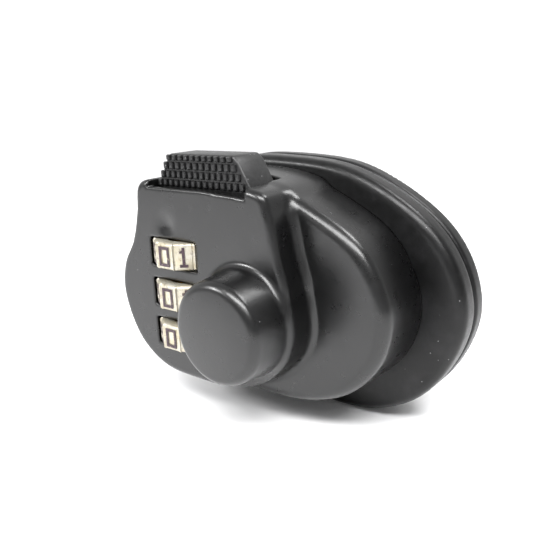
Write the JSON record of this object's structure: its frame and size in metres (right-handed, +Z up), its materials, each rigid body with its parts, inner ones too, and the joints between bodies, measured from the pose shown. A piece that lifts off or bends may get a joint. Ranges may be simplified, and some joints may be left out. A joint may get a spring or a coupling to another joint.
{
  "type": "combination trigger lock",
  "caption": "Two-piece combination trigger lock: a black metal dial half and a back half with rubber clamp pads, joined by a ratchet post, with a thumb release button.",
  "frame": {"origin": "under the middle of the closed lock, on the surface that it stands on", "axes": "+X along the lock's length from the dials to the round end, +Y from the dial face to the back half, +Z up towards the release button"},
  "size_m": [0.0666, 0.0438, 0.0496],
  "materials": {
    "black_shell": "satin black powder coat over die-cast zinc",
    "rubber_pad": "matt moulded rubber",
    "button_plastic": "matt moulded plastic with a ridged thumb face",
    "dial_metal": "worn pale plating, flat facets",
    "dial_ink": "printed digits",
    "brass": "turned",
    "steel": "turned, zinc plated",
    "screw_steel": "zinc plated",
    "spring_steel": "rolled",
    "zinc_plate": "pressed and zinc plated"
  },
  "bodies": {
    "dial_half": {"dial_housing": "black_shell", "cover_plate": "zinc_plate", "cover_screws": "screw_steel", "front_pad": "rubber_pad", "spindle_bearing": "brass", "detent_spring": "spring_steel", "detent_screws": "screw_steel", "post_bush": "brass", "return_spring": "spring_steel"},
    "dial_top": {"dial_ring_top": "dial_metal", "dial_hub_top": "brass"},
    "dial_middle": {"dial_ring_middle": "dial_metal", "dial_hub_middle": "brass"},
    "dial_bottom": {"dial_ring_bottom": "dial_metal", "dial_hub_bottom": "brass"},
    "release": {"release_button": "button_plastic", "release_link": "zinc_plate", "button_screw": "screw_steel", "spindle": "steel", "spindle_clip": "spring_steel", "latch_spring": "spring_steel", "latch_rivets": "screw_steel"},
    "back_half": {"back_housing": "black_shell", "back_plate": "zinc_plate", "back_plate_screws": "screw_steel", "back_pad": "rubber_pad", "ratchet_post": "steel", "guide_pins": "steel"}
  },
  "joints": [
    {"name": "dial_top_turn", "type": "hinge", "parent": "dial_half", "child": "dial_top", "pos_m": [-0.0157, -0.0088, 0.0314], "axis": [0, 0, 1], "continuous": true},
    {"name": "dial_middle_turn", "type": "hinge", "parent": "dial_half", "child": "dial_middle", "pos_m": [-0.0157, -0.0088, 0.0234], "axis": [0, 0, 1], "continuous": true},
    {"name": "dial_bottom_turn", "type": "hinge", "parent": "dial_half", "child": "dial_bottom", "pos_m": [-0.0157, -0.0088, 0.0154], "axis": [0, 0, 1], "continuous": true},
    {"name": "button_press", "type": "slide", "parent": "dial_half", "child": "release", "axis": [0, 0, -1], "range_m": [0, 0.0022], "stiffness_N_per_m": 600, "springref_m": -0.003, "deforming": ["return_spring"]},
    {"name": "halves_slide", "type": "slide", "parent": "dial_half", "child": "back_half", "axis": [0, 1, 0], "range_m": [0, 0.04], "deforming": ["latch_spring"]}
  ]
}
